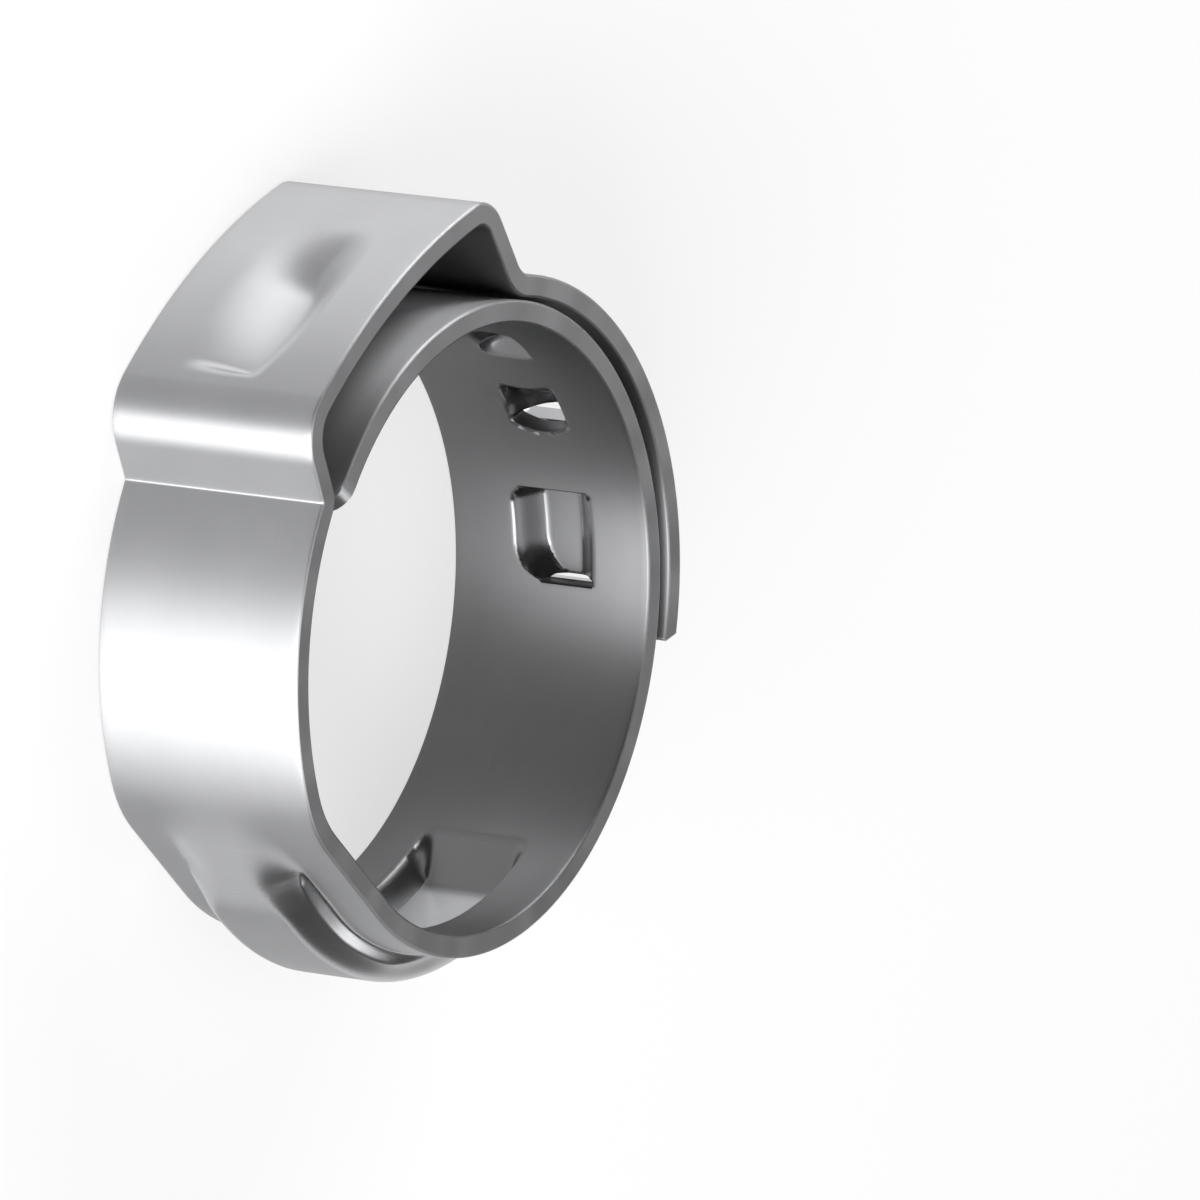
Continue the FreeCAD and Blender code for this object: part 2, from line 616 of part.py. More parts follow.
def round_all_corners(body):
    tip_radius = "min(Sizes.tongue_tip_radius; %s * %s)" % (TIP_SHARE, TONGUE_HALF)
    round_corners(body, "TongueTip", ["Sizes.tongue_direction"], tongue_edges(),
                  BORE, INNER_BACK, tip_radius, 2)
    round_corners(body, "Shoulder", ["Sizes.shoulder_direction"], ["0", "Sizes.strip_width"],
                  BORE, INNER_BACK, "Sizes.shoulder_radius", 2)
    for name, hook in (("HookWindowCorners", "large_hook"), ("BridgeWindowCorners", "bridge")):
        half = "Sizes.%s_width / 2 + Sizes.window_clearance" % hook
        half_angle = "Sizes.%s_angle / 2 + Sizes.window_clearance_angle" % hook
        round_corners(
            body, name,
            ["Sizes.%s_direction - (%s)" % (hook, half_angle), "Sizes.%s_direction + %s" % (hook, half_angle)],
            ["Sizes.hook_height_on_strip - (%s)" % half, "Sizes.hook_height_on_strip + %s" % half],
            BETWEEN_LAYERS, OUTER_BACK + " + Sizes.overlap_rise + %s" % OVERSHOOT,
            "Sizes.window_corner_radius", 4,
        )


def check(document):
    """Stops with a message if a feature failed, since a recompute doesn't raise an error."""
    failed = [item.Name for item in document.Objects if {"Invalid", "Error"} & set(item.State)]
    if failed:
        raise RuntimeError("failed: " + ", ".join(failed))


def main():
    document = FreeCAD.newDocument("EarHoseClamp")
    make_sheet(document)
    body = document.addObject("PartDesign::Body", "clamp_band")
    body.Label = "clamp_band"
    make_strip(body)
    make_channel(body)
    make_tongue(body)
    make_windows(body)
    make_hook(body, "small_hook", lanced=False)
    make_hook(body, "large_hook", lanced=True)
    make_bridge(body)
    make_dimple(body)
    round_all_corners(body)
    document.recompute()
    check(document)
    shape = body.Shape
    if shape.isNull() or not shape.isValid() or len(shape.Solids) != 1:
        raise RuntimeError("the clamp is not one valid solid")
    os.makedirs("parts", exist_ok=True)
    shape.exportStep("parts/%s.step" % body.Label)
    print("%s: %.2f cubic mm, %d faces" % (body.Label, shape.Volume, len(shape.Faces)))


main()
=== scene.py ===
import math

import bpy
import numpy as np
from mathutils import Matrix, Vector


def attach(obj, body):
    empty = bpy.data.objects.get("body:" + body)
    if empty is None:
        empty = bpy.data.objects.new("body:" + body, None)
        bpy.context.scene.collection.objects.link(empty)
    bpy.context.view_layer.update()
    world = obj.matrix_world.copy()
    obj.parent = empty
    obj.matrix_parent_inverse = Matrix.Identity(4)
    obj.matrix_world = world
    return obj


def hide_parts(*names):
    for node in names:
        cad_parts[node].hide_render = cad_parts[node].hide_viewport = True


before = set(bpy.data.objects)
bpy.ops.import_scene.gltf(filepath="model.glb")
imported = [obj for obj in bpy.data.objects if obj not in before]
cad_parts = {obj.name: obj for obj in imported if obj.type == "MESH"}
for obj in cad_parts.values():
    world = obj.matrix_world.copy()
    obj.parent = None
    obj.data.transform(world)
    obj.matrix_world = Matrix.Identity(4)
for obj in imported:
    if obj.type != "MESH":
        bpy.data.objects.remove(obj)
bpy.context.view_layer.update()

# The clamp is one strip, bent round the bore until it overlaps itself. Lengths here are in millimetres
# and directions in degrees round the bore, counter-clockwise from +X. A place on the unrolled strip has
# a run, measured from the tip of the tongue, and a height above the strip's lower edge.
METRE = 1000

# The strip and its bends, as in the part's source.
BORE, WIDTH, THICK, CLEARANCE = 9.25, 7.0, 0.7, 0.05
MIDDLE = BORE + THICK / 2
OUTER_MIDDLE = MIDDLE + THICK + CLEARANCE
FLAT_DIRECTION, FLAT_DEPTH, FLAT_LEAD, FLAT_EXIT = 205.0, 0.06, 7.0, 3.6
LEG_LEFT, LEG_RIGHT, LEG_LEAN = 6.0, 5.53, 9.3
EAR_CLEAR, EAR_TOP, EAR_SHIFT = 1.9, 20.5, 1.1
CORNER_LEFT, CORNER_RIGHT, ROOT_LEFT, ROOT_RIGHT = 1.4, 1.05, 0.45, 1.3
RISE, RISE_DIRECTION, RISE_SPAN = 0.45, -13.5, 73.0
END_DIRECTION, END_SLANT = -34.5, 20.0
TONGUE_WIDTH, TONGUE_DIRECTION, SHOULDER_DIRECTION = 2.6, 180.0, 125.5
TIP_RADIUS, SHOULDER_RADIUS = 1.1, 0.9
# The strip passes some directions twice. On the second pass, a whole turn is taken off the direction.
LAP = 360
# How finely the bent strip is followed, and how far its middle runs on past the outer end.
BEND_STEP, SPARE_ANGLE = 0.01, 3
# How far every cut edge is rounded, and the shares of it at which the rounding has points.
EDGE = 0.08
ROUND_SHARES = [1 - math.cos(math.radians(angle)) for angle in (0, 22.5, 45, 67.5, 90)]

# The channel, as in the source: where it starts, starts to rise, has its full depth, and where its ramp
# starts and ends.
CHANNEL_HEIGHT, CHANNEL_DEPTH = 3.4, 0.25
CHANNEL_START, CHANNEL_RISE, CHANNEL_FULL, CHANNEL_END, RAMP_END = 165, 185, 200, 271, 281
# Its walls follow the photograph, as distances from its middle. The back has a soft shoulder, which is
# wider up to one direction and has its usual width from another.
FLOOR_HALF, WALL_HALF = 1.4, 1.92
SHOULDER_FOOT, SHOULDER_TOP, SHOULDER_WIDER = 2.3, 1.2, 0.8
WIDER_UNTIL, USUAL_FROM = 190, 203
# Near the shoulder's foot, a crisp step takes a share of the wall. It starts, is whole, fades and ends
# at these directions.
STEP_FOOT, STEP_TOP, STEP_SHARE = 2.13, 1.98, 0.28
STEP_ALONG = (193, 196, 228, 244)
# The channel's floor on the bore side is painted lighter, a painted highlight: the directions at which that
# starts, is whole, fades and ends, and the distances from its middle at which it fades and ends.
HIGHLIGHT_ALONG = (185, 191, 269, 272)
HIGHLIGHT_FADE, HIGHLIGHT_END = 1.45, 1.75

# The hooks of the inner layer. Directions and angles are the source's. Heights, half widths, depths and
# the wall follow the photograph. A hook rises over a share of its length. The small one falls again
# over another share, and the large one is cut open where it is highest, along a line that bows.
SMALL_HOOK, SMALL_ANGLE, SMALL_HEIGHT, SMALL_HALF = 32.4, 12.0, 4.0, 0.85
LARGE_HOOK, LARGE_ANGLE, LARGE_HEIGHT, LARGE_HALF = 11.0, 11.5, 3.83, 1.0
SMALL_DEPTH, LARGE_DEPTH, SMALL_FALL, BOW = 0.2, 0.95, 0.3, 0.3
HOOK_WALL, HOOK_RISE, DOME_POWER = 0.4, 0.75, 0.8
# A soft hollow leads into a hook on the bore side: where it starts, is whole, fades and ends across the
# hook, in half widths from its middle, and where it fades and ends along it, in shares of its length.
LEAD_DEPTH, LEAD_ACROSS, LEAD_FADE, LEAD_END = 0.12, (-1.9, -0.5, -0.1, 0.3), 0.5, 0.95
# The bridge, a trough across the strip between two slits, which end short of its upper edge. Its first
# and its last corner at its lower edge are rounded off, each over a stretch that is given in shares of
# the way from its middle to the slit.
HOOK_HEIGHT, BRIDGE, BRIDGE_ANGLE, BRIDGE_WIDTH, BRIDGE_DEPTH = 3.6, -17.4, 18.8, 3.0, 0.7
BRIDGE_RISE, BRIDGE_FALL = 0.75, 1.15
FIRST_CORNER, FIRST_ROUND = 0.4, (2 / 3, 1.0)
LAST_CORNER, LAST_ROUND = 1.0, (0.099, 0.999)
SLIT_ANGLE, SLIT_HALF, SLIT_RADIUS, SLIT_SHORT = 1.5, 0.08, 0.07, 0.15
# All hooks and the bridge lie between these directions and these heights.
HOOKS_START, HOOKS_END, HOOKS_LOW, HOOKS_HIGH = 41, -29, 1, 6
# The windows of the outer end, over the large hook and the bridge, as in the source, apart from the
# last edge of the bridge's window, which is closer.
WINDOW_HEIGHT, LARGE_WINDOW_WIDTH, WINDOW_CLEARANCE, WINDOW_CORNER = 3.6, 2.3, 0.35, 0.5
WINDOW_ANGLE, LAST_WINDOW_ANGLE = 3.0, 0.0

# The dimple in the top of the ear: its direction and its reach to both sides, and from its middle
# along the strip, where it starts, is whole, fades and ends, and where it gets deeper.
DIMPLE, DIMPLE_REACH, DIMPLE_ALONG = 97.0, 4, (-3.2, -2.75, 0.9, 3.9)
DIMPLE_DEPTH, DIMPLE_DEEPER, DEEPER_START, DEEPER_END = 0.5, 0.4, -3.0, 1.5
# The heights of its lower edge, its deepest line and its crisp edge, and how much that edge bows down
# before and after the middle. The wall under it is wider than deep, more so at one end, and a share of
# it is straight.
DIMPLE_LOW, DIMPLE_DEEPEST, DIMPLE_EDGE, BOW_BEFORE, BOW_AFTER = 1.6, 4.2, 5.3, 0.075, 0.018
WALL_SPARE, WALL_WIDER, WIDER_START, WIDER_END, WALL_STRAIGHT = 0.35, 0.5, 0.5, 2.5, 0.6
# The slant of the outer end's cut is spread over this length, and a bend of more than this angle
# between two faces is shown as a sharp edge.
SLANT_LENGTH, SHARP_ANGLE = 1.2, 38


def unit(direction):
    return np.array([math.cos(math.radians(direction)), math.sin(math.radians(direction))])


def crossing(circle, line, near):
    """The crossing of a circle (centre, radius) and a line (normal, distance, "line") nearer to a place."""
    centre, radius = circle
    normal, distance = line[:2]
    along = distance - normal @ centre
    across = np.array([-normal[1], normal[0]]) * math.sqrt(radius ** 2 - along ** 2)
    middle = centre + normal * along
    return min((middle + across, middle - across), key=lambda place: np.linalg.norm(place - near))


def grown(line, amount):
    """A larger circle, or a straight line further out."""
    return (line[0], line[1] + amount) + line[2:]


def touched(line, point):
    """The place on a circle or a line that is nearest to a point."""
    if len(line) == 3:
        return point + line[0] * (line[1] - line[0] @ point)
    away = point - line[0]
    return line[0] + away * (line[1] / np.linalg.norm(away))


def stretches():
    """The lines that the middle of the strip follows, each with its start, its stop and its turn."""
    centre = np.zeros(2)
    lean = math.radians(LEG_LEAN)
    shift = RISE / (1 - math.cos(math.radians(RISE_SPAN)))
    top_centre = np.array([EAR_SHIFT, BORE + THICK * 1.5 + EAR_CLEAR - EAR_TOP])
    right_leg = (unit(LEG_LEAN), math.cos(lean) * LEG_RIGHT + math.sin(lean) * BORE, "line")
    overlap = (unit(RISE_DIRECTION) * shift, OUTER_MIDDLE + RISE - shift)
    # Each next line, with the turn and the radius of the bend before it, and the bend's direction.
    bends = (
        ((unit(FLAT_DIRECTION), MIDDLE - FLAT_DEPTH, "line"), -1, FLAT_LEAD, 250),
        ((centre, OUTER_MIDDLE), -1, FLAT_EXIT, 180),
        ((unit(180), LEG_LEFT, "line"), 1, ROOT_LEFT, 125),
        ((top_centre, EAR_TOP), -1, CORNER_LEFT, 117),
        (right_leg, -1, CORNER_RIGHT, 67),
        (overlap, 1, ROOT_RIGHT, 55),
    )
    before, place = (centre, MIDDLE), unit(TONGUE_DIRECTION) * MIDDLE
    found = []
    for after, turn, radius, direction in bends:
        # Circles and straight lines take turns.
        circle, straight = (after, before) if len(before) == 3 else (before, after)
        step = turn * radius
        bend = crossing(grown(circle, step), grown(straight, step), unit(direction) * MIDDLE)
        found.append((before, place, touched(before, bend), -1))
        found.append(((bend, radius), touched(before, bend), touched(after, bend), turn))
        before, place = after, touched(after, bend)
    beyond = unit(END_DIRECTION - SPARE_ANGLE)
    across_end = (np.array([-beyond[1], beyond[0]]), 0.0, "line")
    end = crossing(overlap, across_end, beyond * MIDDLE)
    return found + [(overlap, place, end, -1)]


def bent_line():
    """The middle of the bent strip as a dense run of places, with the outward normal at each."""
    places, normals = [], []
    for line, start, stop, turn in stretches():
        if len(line) == 3:
            count = max(2, int(np.linalg.norm(stop - start) / BEND_STEP))
            steps = np.linspace(0, 1, count)[:-1, None]
            places.append(start + (stop - start) * steps)
            normals.append(np.repeat(line[0][None], len(steps), 0))
            continue
        first, last = [math.atan2(*(point - line[0])[::-1]) for point in (start, stop)]
        while (last - first) * turn < 0:
            last += turn * 2 * math.pi
        steps = np.linspace(first, last, max(2, int(abs(last - first) * line[1] / BEND_STEP)))[:-1]
        away = np.column_stack([np.cos(steps), np.sin(steps)])
        places.append(line[0] + away * line[1])
        normals.append(-turn * away)
    return np.vstack(places), np.vstack(normals)


PLACES, NORMALS = bent_line()
RUN = np.concatenate([[0], np.cumsum(np.linalg.norm(np.diff(PLACES, axis=0), axis=1))])
# The direction of each place about the bore, unwound: it falls from the tongue's tip to the outer end.
TURNED = np.degrees(np.unwrap(np.arctan2(PLACES[:, 1], PLACES[:, 0])))


def run_at(direction):
    return float(np.interp(-direction, -TURNED, RUN))


def turned_at(run):
    return np.interp(run, RUN, TURNED)


OUTER_END = run_at(END_DIRECTION - LAP)
SHOULDER = run_at(SHOULDER_DIRECTION)


def smooth(low, high, value):
    """Goes from 0 at low to 1 at high. Low may be the larger one."""
    step = np.clip((value - low) / (high - low), 0, 1)
    return step * step * (3 - 2 * step)


def between(start, full, fade, end, value):
    """Rises from 0 at start to 1 at full, and falls again from 1 at fade to 0 at end."""
    return smooth(start, full, value) * smooth(end, fade, value)


def rounded_off(size, start, stop, value):
    """How much of a round corner of this size is missing: nothing at start, and all of it at stop."""
    return size * (1 - np.sqrt(1 - np.clip((value - start) / (stop - start), 0, 1) ** 2))


def rounded_box(across, up, half_across, half_up, radius):
    """Signed distance to a rounded rectangle about the origin, negative inside it."""
    dx, dy = np.abs(across) - half_across + radius, np.abs(up) - half_up + radius
    outside = np.hypot(np.maximum(dx, 0), np.maximum(dy, 0))
    return outside + np.minimum(np.maximum(dx, dy), 0) - radius


def metal(run, up):
    """How far a place on the unrolled strip lies inside the metal; negative in a hole or past an end."""
    far = 200
    body = -rounded_box(run - SHOULDER - far, up - WIDTH / 2, far, WIDTH / 2, SHOULDER_RADIUS)
    tongue = -rounded_box(run - SHOULDER, up - CHANNEL_HEIGHT, SHOULDER, TONGUE_WIDTH / 2, TIP_RADIUS)
    inside = np.minimum(np.maximum(body, tongue), OUTER_END - run)
    for direction, angle, width, beyond in (
        (LARGE_HOOK - LAP, LARGE_ANGLE, LARGE_WINDOW_WIDTH, WINDOW_ANGLE),
        (BRIDGE - LAP, BRIDGE_ANGLE, BRIDGE_WIDTH, LAST_WINDOW_ANGLE),
    ):
        first, last = run_at(direction + angle / 2 + WINDOW_ANGLE), run_at(direction - angle / 2 - beyond)
        along, across = run - (first + last) / 2, up - WINDOW_HEIGHT
        half = width / 2 + WINDOW_CLEARANCE
        inside = np.minimum(inside, rounded_box(along, across, (last - first) / 2, half, WINDOW_CORNER))
    across = up - LARGE_HEIGHT
    lance = run - run_at(LARGE_HOOK - LARGE_ANGLE / 2) + BOW * (across / LARGE_HALF) ** 2
    inside = np.minimum(inside, rounded_box(lance, across, SLIT_HALF, LARGE_HALF, SLIT_RADIUS))
    for side, corner in ((1, FIRST_CORNER), (-1, LAST_CORNER)):
        slit = run - run_at(BRIDGE + side * (BRIDGE_ANGLE - SLIT_ANGLE) / 2)
        low, high = HOOK_HEIGHT - BRIDGE_WIDTH / 2 + corner, HOOK_HEIGHT + BRIDGE_WIDTH / 2 - SLIT_SHORT
        cut = rounded_box(slit, up - (low + high) / 2, SLIT_HALF, (high - low) / 2, SLIT_RADIUS)
        inside = np.minimum(inside, cut)
    return inside


def channel_wall(direction, aside):
    """The channel's walls on its back: a soft shoulder, and a crisp step near its foot."""
    shoulder = SHOULDER_TOP - SHOULDER_WIDER * smooth(USUAL_FROM, WIDER_UNTIL, direction)
    soft = smooth(SHOULDER_FOOT, shoulder, aside)
    step = STEP_SHARE * between(*STEP_ALONG, direction)
    return soft + step * (smooth(STEP_FOOT, STEP_TOP, aside) - soft)


def channel(run, up):
    """The channel rises out of the left wall, keeps one radius, and a ramp ends it."""
    direction = turned_at(run) + LAP
    radius = np.interp(run, RUN, np.linalg.norm(PLACES, axis=1))
    aside = np.abs(up - CHANNEL_HEIGHT)
    crest = OUTER_MIDDLE + CHANNEL_DEPTH * smooth(CHANNEL_RISE, CHANNEL_FULL, direction)
    along = between(CHANNEL_START, CHANNEL_RISE, CHANNEL_END, RAMP_END, direction)
    depth = along * np.maximum(crest - radius, 0)
    return depth * (1 - smooth(FLOOR_HALF, WALL_HALF, aside)), depth * channel_wall(direction, aside)


def hook(run, up, direction, angle, middle, half, depth, fall):
    """A hook is a dome that rises along the strip. Without a fall it is cut open where it is highest."""
    across = (up - middle) / half
    start, stop = run_at(direction + angle / 2), run_at(direction - angle / 2)
    bow = 0 if fall else BOW * across ** 2
    along = (run + bow - start) / (stop - start)
    rise = np.where((along > 0) & (along < 1), smooth(0, HOOK_RISE, along), 0)
    if fall:
        rise = rise * (1 - smooth(1 - fall, 1, along))
    dome = np.clip(1 - across ** 2, 0, 1) ** DOME_POWER
    # A soft hollow leads into the hook on the bore side, from the lower edge of the strip.
    lead = LEAD_DEPTH * between(*LEAD_ACROSS, across) * smooth(LEAD_END, LEAD_FADE, along)
    return rise * np.maximum(dome * (depth + THICK - HOOK_WALL), lead), rise * dome * depth


def bridge(run, up):
    """The bridge is a trough across the strip, between its two slits, rounded at its lower corners."""
    # Along the strip it goes from -1 at its first slit to 1 at its last.
    along = (BRIDGE - turned_at(run)) / (BRIDGE_ANGLE - SLIT_ANGLE) * 2
    corner = rounded_off(FIRST_CORNER, *FIRST_ROUND, -along) + rounded_off(LAST_CORNER, *LAST_ROUND, along)
    low, high = HOOK_HEIGHT - BRIDGE_WIDTH / 2 + corner, HOOK_HEIGHT + BRIDGE_WIDTH / 2
    arch = between(low, low + BRIDGE_RISE, high - BRIDGE_FALL, high, up) * (np.abs(along) < 1)
    return arch * (BRIDGE_DEPTH + THICK - HOOK_WALL), arch * BRIDGE_DEPTH


def dimple(run, up):
    """The dimple is pressed in: a crisp curved edge on its upper side, soft below and at one end."""
    along = run - run_at(DIMPLE - LAP)
    depth = DIMPLE_DEPTH + DIMPLE_DEEPER * smooth(DEEPER_START, DEEPER_END, along)
    depth = depth * between(*DIMPLE_ALONG, along)
    edge = DIMPLE_EDGE - np.where(along < 0, BOW_BEFORE, BOW_AFTER) * along ** 2
    width = depth + WALL_SPARE + WALL_WIDER * smooth(WIDER_START, WIDER_END, along)
    straight = np.clip((edge - up) / width, 0, 1)
    wall = WALL_STRAIGHT * straight + (1 - WALL_STRAIGHT) * smooth(0, 1, straight)
    inward = -depth * smooth(DIMPLE_LOW, DIMPLE_DEEPEST, up) * wall
    return inward, inward


def pressed(run, up):
    """How far the bore side and the back of the strip are pressed outward at a place."""
    forms = (
        channel(run, up),
        hook(run, up, SMALL_HOOK, SMALL_ANGLE, SMALL_HEIGHT, SMALL_HALF, SMALL_DEPTH, SMALL_FALL),
        hook(run, up, LARGE_HOOK, LARGE_ANGLE, LARGE_HEIGHT, LARGE_HALF, LARGE_DEPTH, 0),
        bridge(run, up),
        dimple(run, up),
    )
    return [sum(side) for side in zip(*forms)]


def steepness(run, up):
    """How steep both sides are in the pressed forms, from 0 to 1. The dimple counts as flat."""
    step, flat, steep = 0.03, 0.03, 0.35
    along = [(a - b) / step / 2 for a, b in zip(pressed(run + step, up), pressed(run - step, up))]
    across = [(a - b) / step / 2 for a, b in zip(pressed(run, up + step), pressed(run, up - step))]
    dimpled = np.abs(run - run_at(DIMPLE - LAP)) < DIMPLE_REACH
    return [np.where(dimpled, 0, smooth(flat, steep, np.hypot(a, b))) for a, b in zip(along, across)]


def painted_highlight_floor(run, up):
    """Where the channel's floor on the bore side gets its painted highlight, from 0 to 1."""
    along = between(*HIGHLIGHT_ALONG, turned_at(run) + LAP)
    return along * smooth(HIGHLIGHT_END, HIGHLIGHT_FADE, np.abs(up - CHANNEL_HEIGHT))


# The points of the net lie this far apart along the strip, and closer between the directions below and
# a little before them. The steps stop short of the outer end's rounding, and none of them is a sliver.
WIDE_STEP, EARLY, LAST_STEP, SLIVER = 0.3, 0.05, 0.09, 0.03
CLOSER = (
    (181, 172, 0.14),  # the tip of the tongue
    (129, 122, 0.1),  # the shoulder
    (HOOKS_START, 21, 0.085),  # the small hook
    (21, 3, 0.06),  # the large hook
    (3, -6, 0.15),
    (-6, HOOKS_END, 0.06),  # the bridge
    (284 - LAP, 269 - LAP, 0.16),  # the channel's ramp
    (207 - LAP, 187 - LAP, 0.2),  # where the channel rises
    (137 - LAP, 116 - LAP, 0.1),  # the ear's left root and corner
    (115 - LAP, 77 - LAP, 0.12),  # the dimple
    (73 - LAP, 52 - LAP, 0.11),  # the ear's right corner and root
    (20 - LAP, -31 - LAP, 0.09),  # the windows
)


def stations():
    """The places along the strip at which the net has a row of points."""
    close = [(run_at(first), min(run_at(last), OUTER_END), step) for first, last, step in CLOSER]
    runs, place, last = [0.0], 0.0, OUTER_END - LAST_STEP
    while place < last - SLIVER:
        step = min([step for start, stop, step in close if start - EARLY <= place < stop] or [WIDE_STEP])
        place = min(place + step, last)
        runs.append(place)
    return np.array(runs + [OUTER_END - share * EDGE for share in ROUND_SHARES[::-1]])


def rows():
    """The heights of the points across the strip, closer over the forms, with both long edges rounded."""
    edge = [share * EDGE for share in ROUND_SHARES]
    heights = list(edge)
    for low, high, step in ((0.3, 1.2, 0.22), (1.25, 4.5, 0.1), (4.5, 5.3, 0.08), (5.3, 5.66, 0.04)):
        heights += list(np.arange(low, high, step))
    return np.array(heights + [5.75, 5.95, 6.15, 6.4, 6.7] + [WIDTH - share for share in edge[::-1]])


def snapped(run, up, inside):
    """Moves the points next to an outline onto it. Gives the points and where each lies: in, on or out."""
    state = np.where(inside > 1e-6, 1, np.where(inside < -1e-6, -1, 0))
    best = np.full(run.shape, np.inf)
    new_run, new_up = run.copy(), up.copy()
    for axis in (0, 1):
        a = tuple(slice(None, -1) if i == axis else slice(None) for i in (0, 1))
        b = tuple(slice(1, None) if i == axis else slice(None) for i in (0, 1))
        cross = inside[a] * inside[b] < -1e-12
        part = np.where(cross, inside[a] / np.where(cross, inside[a] - inside[b], 1), 0)
        at_run = run[a] + (run[b] - run[a]) * part
        at_up = up[a] + (up[b] - up[a]) * part
        for ends, share in ((a, part), (b, 1 - part)):
            nearer = cross & (share <= 0.5) & (share < best[ends])
            best[ends] = np.where(nearer, share, best[ends])
            new_run[ends] = np.where(nearer, at_run, new_run[ends])
            new_up[ends] = np.where(nearer, at_up, new_up[ends])
    state = np.where(best < 1, 0, state)
    return new_run, new_up, state


def strip_net():
    """The triangles of the unrolled strip that lie in the metal, and the run and height of each point."""
    run, up = np.meshgrid(stations(), rows(), indexing="ij")
    run, up, state = snapped(run, up, metal(run, up))
    number = np.arange(run.size).reshape(run.shape)
    corners = [number[:-1, :-1], number[1:, :-1], number[1:, 1:], number[:-1, 1:]]
    quads = np.stack(corners, -1).reshape(-1, 4)
    # A quad is cut along the diagonal that doesn't join a point in the metal to one out of it.
    kinds = state.reshape(-1)[quads]
    other = (kinds[:, 0] * kinds[:, 2] < 0)
    first = np.where(other[:, None], quads[:, [1, 2, 3]], quads[:, [0, 1, 2]])
    second = np.where(other[:, None], quads[:, [1, 3, 0]], quads[:, [0, 2, 3]])
    triangles = np.vstack([first, second])
    kinds = state.reshape(-1)[triangles]
    flat_run, flat_up = run.reshape(-1), up.reshape(-1)
    centre = metal(flat_run[triangles].mean(1), flat_up[triangles].mean(1))
    triangles = triangles[(kinds.min(1) >= 0) & ((kinds.max(1) > 0) | (centre > 0))]
    used = np.unique(triangles)
    renumber = np.full(run.size, -1)
    renumber[used] = np.arange(len(used))
    return renumber[triangles], flat_run[used], flat_up[used]


def outline(triangles, count):
    """The edges that only one triangle has."""
    edges = np.vstack([triangles[:, [0, 1]], triangles[:, [1, 2]], triangles[:, [2, 0]]])
    key = edges.min(1) * count + edges.max(1)
    _, index, uses = np.unique(key, return_index=True, return_counts=True)
    return edges[index[uses == 1]]


def bent(run, up):
    """The points of the bore side and after them those of the back, in millimetres."""
    margin = np.clip(np.minimum(np.minimum(metal(run, up), up), WIDTH - up), 0, EDGE)
    half = THICK / 2 - EDGE + EDGE * np.sqrt(1 - (1 - margin / EDGE) ** 2)
    bore_side, back = pressed(run, up)
    slant = math.tan(math.radians(END_SLANT)) * THICK / 2
    slant = slant * smooth(OUTER_END - SLANT_LENGTH, OUTER_END, run)
    points = []
    for offset, moved in ((bore_side - half, run + slant), (back + half, run - slant)):
        x, y, out_x, out_y = [np.interp(moved, RUN, column) for column in (*PLACES.T, *NORMALS.T)]
        points.append(np.column_stack([x + out_x * offset, y + out_y * offset, up]))
    return np.vstack(points)


def strip_mesh():
    """The whole clamp: both faces of the strip over one net of points, joined along every outline."""
    triangles, run, up = strip_net()
    count = len(run)
    border = outline(triangles, count)
    walls = np.column_stack([border[:, 1], border[:, 0], border[:, 0] + count, border[:, 1] + count])
    faces = [*map(tuple, triangles[:, ::-1].tolist()), *map(tuple, (triangles + count).tolist()),
             *map(tuple, walls.tolist())]
    mesh = bpy.data.meshes.new("ear_clamp_strip")
    mesh.from_pydata((bent(run, up) / METRE).tolist(), [], faces)

    # The texture lies on the unrolled strip, and one unit of it is 100 mm.
    unrolled = mesh.uv_layers.new(name="unrolled")
    corner = np.empty(len(mesh.loops), int)
    mesh.loops.foreach_get("vertex_index", corner)
    flat = np.column_stack([np.tile(run, 2), np.tile(up, 2)])[corner] / 100
    unrolled.data.foreach_set("uv", flat.reshape(-1).astype(np.float32))
    for name, values in (
        ("burnished", np.concatenate(steepness(run, up))),
        ("painted_highlight", np.tile(painted_highlight_floor(run, up), 2)),
    ):
        mesh.attributes.new(name, "FLOAT", "POINT").data.foreach_set("value", values.astype(np.float32))

    # The materials: 0 on the back, 1 on the bore side and 2 on the cut edges. The bore side's darker tone
    # is painted shade, and inside the holes of the hooks the cut edges get that painted shade too.
    face_material = np.repeat(np.array([1, 0, 2], np.int32), [len(triangles), len(triangles), len(walls)])
    cut_run, cut_up = run[border].mean(1), up[border].mean(1)
    in_hooks = (cut_run > run_at(HOOKS_START)) & (cut_run < run_at(HOOKS_END))
    in_hooks &= (cut_up > HOOKS_LOW) & (cut_up < HOOKS_HIGH)
    face_material[2 * len(triangles):][in_hooks] = 1
    mesh.polygons.foreach_set("material_index", face_material)
    mesh.shade_smooth()
    mesh.set_sharp_from_angle(angle=math.radians(SHARP_ANGLE))
    return mesh


